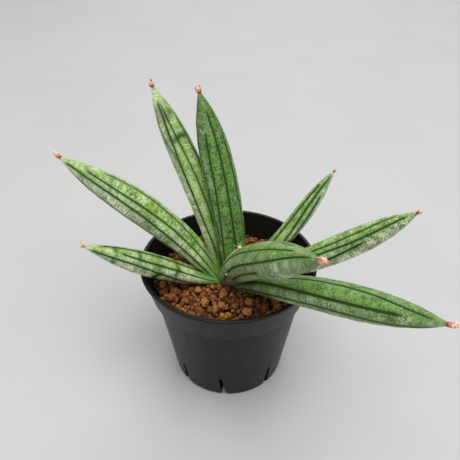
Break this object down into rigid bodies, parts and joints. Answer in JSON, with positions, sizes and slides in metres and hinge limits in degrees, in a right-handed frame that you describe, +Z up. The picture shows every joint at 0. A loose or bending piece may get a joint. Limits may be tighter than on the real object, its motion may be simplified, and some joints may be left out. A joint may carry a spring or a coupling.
{
  "type": "potted snake plant",
  "caption": "Succulent snake plant with round, mottled green leaves spreading from one crown, standing in a black plastic nursery pot of reddish lava grit.",
  "frame": {"origin": "centre of the pot's flat underside, on the surface that it stands on", "axes": "+Z up along the pot's axis, -Y towards the front where the soil shows most, +X to the right, where the three longest right-hand leaves reach out"},
  "size_m": [0.1911, 0.1509, 0.1761],
  "materials": {
    "pot_plastic": "satin black moulded plastic",
    "leaf_skin": "waxy semi-gloss green skin with darker mottling, dark lengthwise furrows and dry orange-brown points",
    "stem_skin": "matt pale green-brown",
    "grit_bed": "matt porous grit",
    "lava_grain": "matt porous rust-coloured grain"
  },
  "bodies": {
    "root": {"grain_01": "lava_grain", "grain_02": "lava_grain", "grain_03": "lava_grain", "grain_04": "lava_grain", "grain_05": "lava_grain", "grain_06": "lava_grain", "grain_07": "lava_grain", "grain_08": "lava_grain", "grain_09": "lava_grain", "grain_10": "lava_grain", "grain_11": "lava_grain", "grain_12": "lava_grain", "grain_13": "lava_grain", "grain_14": "lava_grain", "grain_15": "lava_grain", "grain_16": "lava_grain", "grain_17": "lava_grain", "grain_18": "lava_grain", "grain_19": "lava_grain", "grain_20": "lava_grain", "grain_21": "lava_grain", "grain_22": "lava_grain", "grain_23": "lava_grain", "grain_24": "lava_grain", "leaf_front": "leaf_skin", "leaf_lower_left": "leaf_skin", "leaf_lower_right": "leaf_skin", "leaf_short_right": "leaf_skin", "leaf_tall_front": "leaf_skin", "leaf_tall_left": "leaf_skin", "leaf_upper_left": "leaf_skin", "leaf_upper_right": "leaf_skin", "pot": "pot_plastic", "short_stem": "stem_skin", "soil_bed": "grit_bed"}
  },
  "joints": []
}
